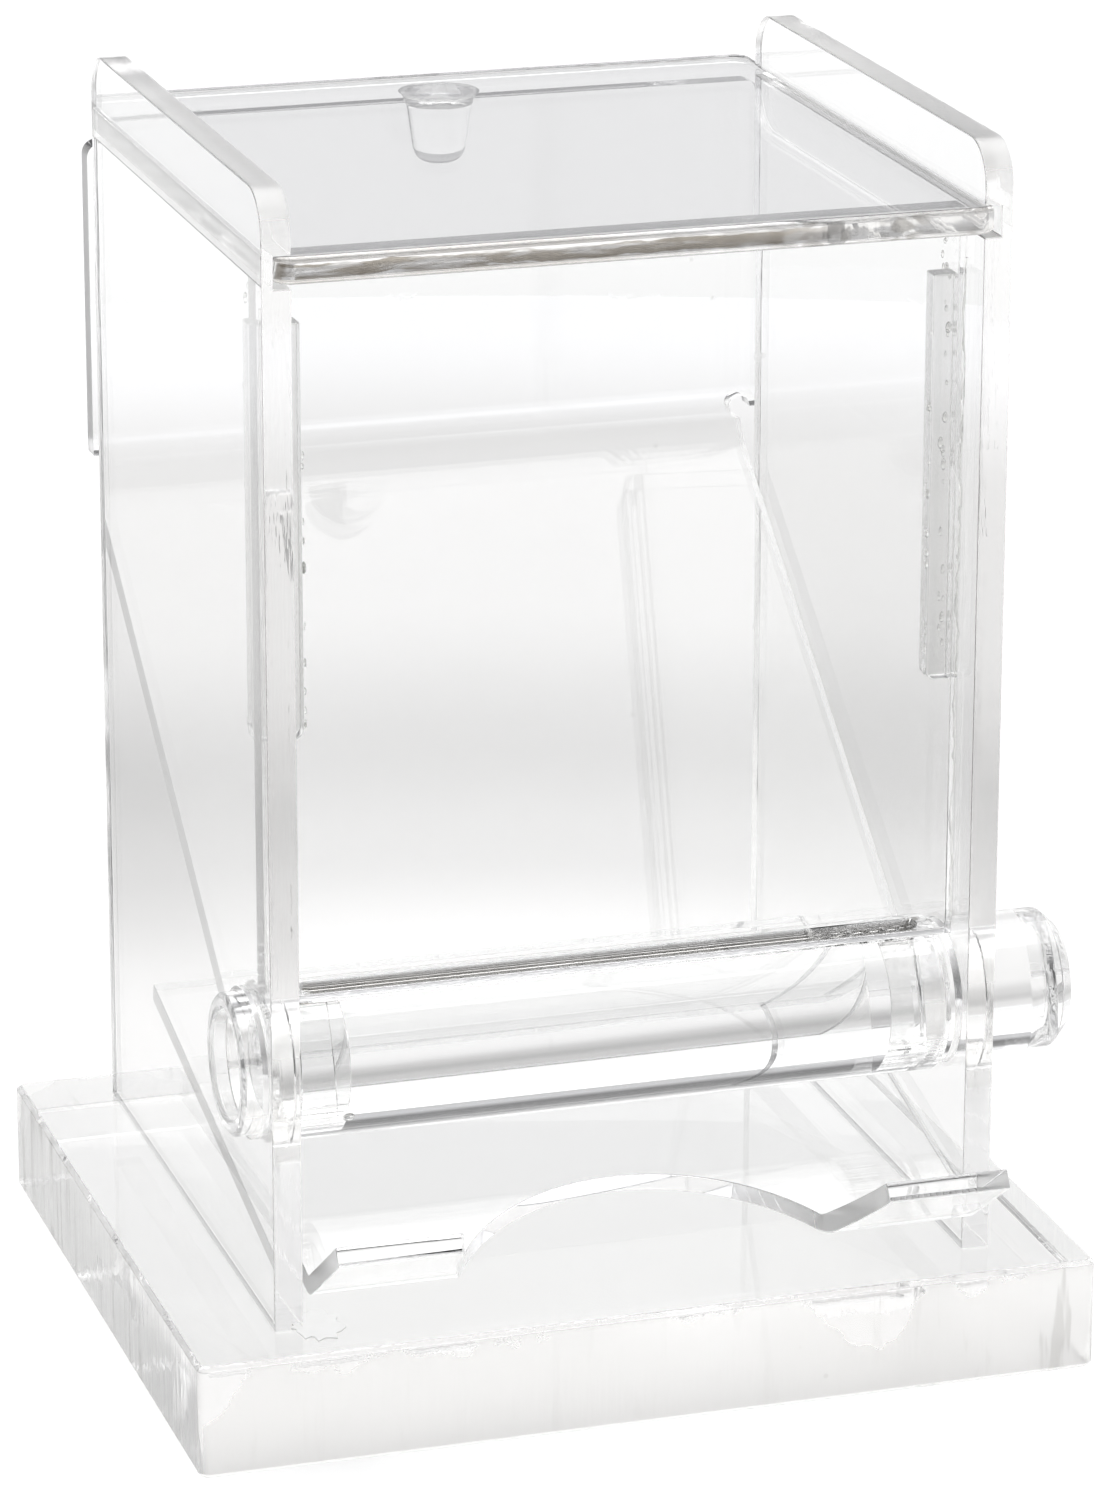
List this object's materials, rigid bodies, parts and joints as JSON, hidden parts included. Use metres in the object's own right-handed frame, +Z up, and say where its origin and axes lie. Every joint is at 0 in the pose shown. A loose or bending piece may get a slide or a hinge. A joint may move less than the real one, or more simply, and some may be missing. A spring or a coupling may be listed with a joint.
{
  "type": "toothpick dispenser",
  "caption": "Clear acrylic toothpick dispenser: a hopper with a sliding lid, a grooved roller turned by a knob, and a tray with a finger cut-out.",
  "frame": {"origin": "middle of the base's underside", "axes": "+Z up, +X along the roller towards its turning knob, -Y towards the tray and the user"},
  "size_m": [0.096, 0.0898, 0.128],
  "materials": {
    "base_acrylic": "clear cast acrylic, sawn and flame-polished edges",
    "sheet_acrylic": "clear acrylic sheet, polished edges",
    "strip_acrylic": "clear acrylic strip with bubbles in its glue line",
    "bent_acrylic": "clear acrylic sheet, bent hot",
    "lid_acrylic": "clear acrylic sheet with sawn front edge",
    "turned_acrylic": "clear acrylic rod, turned and polished"
  },
  "bodies": {
    "case": {"base_plate": "base_acrylic", "left_side_panel": "sheet_acrylic", "right_side_panel": "sheet_acrylic", "front_panel": "sheet_acrylic", "left_corner_strip": "strip_acrylic", "right_corner_strip": "strip_acrylic", "rear_hopper_sheet": "bent_acrylic", "pick_tray": "bent_acrylic"},
    "lid": {"lid": "lid_acrylic", "lid_stop_peg": "turned_acrylic"},
    "roller": {"roller": "turned_acrylic", "left_journal": "turned_acrylic", "turning_knob": "turned_acrylic"}
  },
  "joints": [
    {"name": "roller_turn", "type": "hinge", "parent": "case", "child": "roller", "pos_m": [0, -0.0235, 0.0368], "axis": [1, 0, 0], "continuous": true},
    {"name": "lid_slide", "type": "slide", "parent": "case", "child": "lid", "axis": [0, 1, 0], "range_m": [-0.058, 0.0002]}
  ]
}
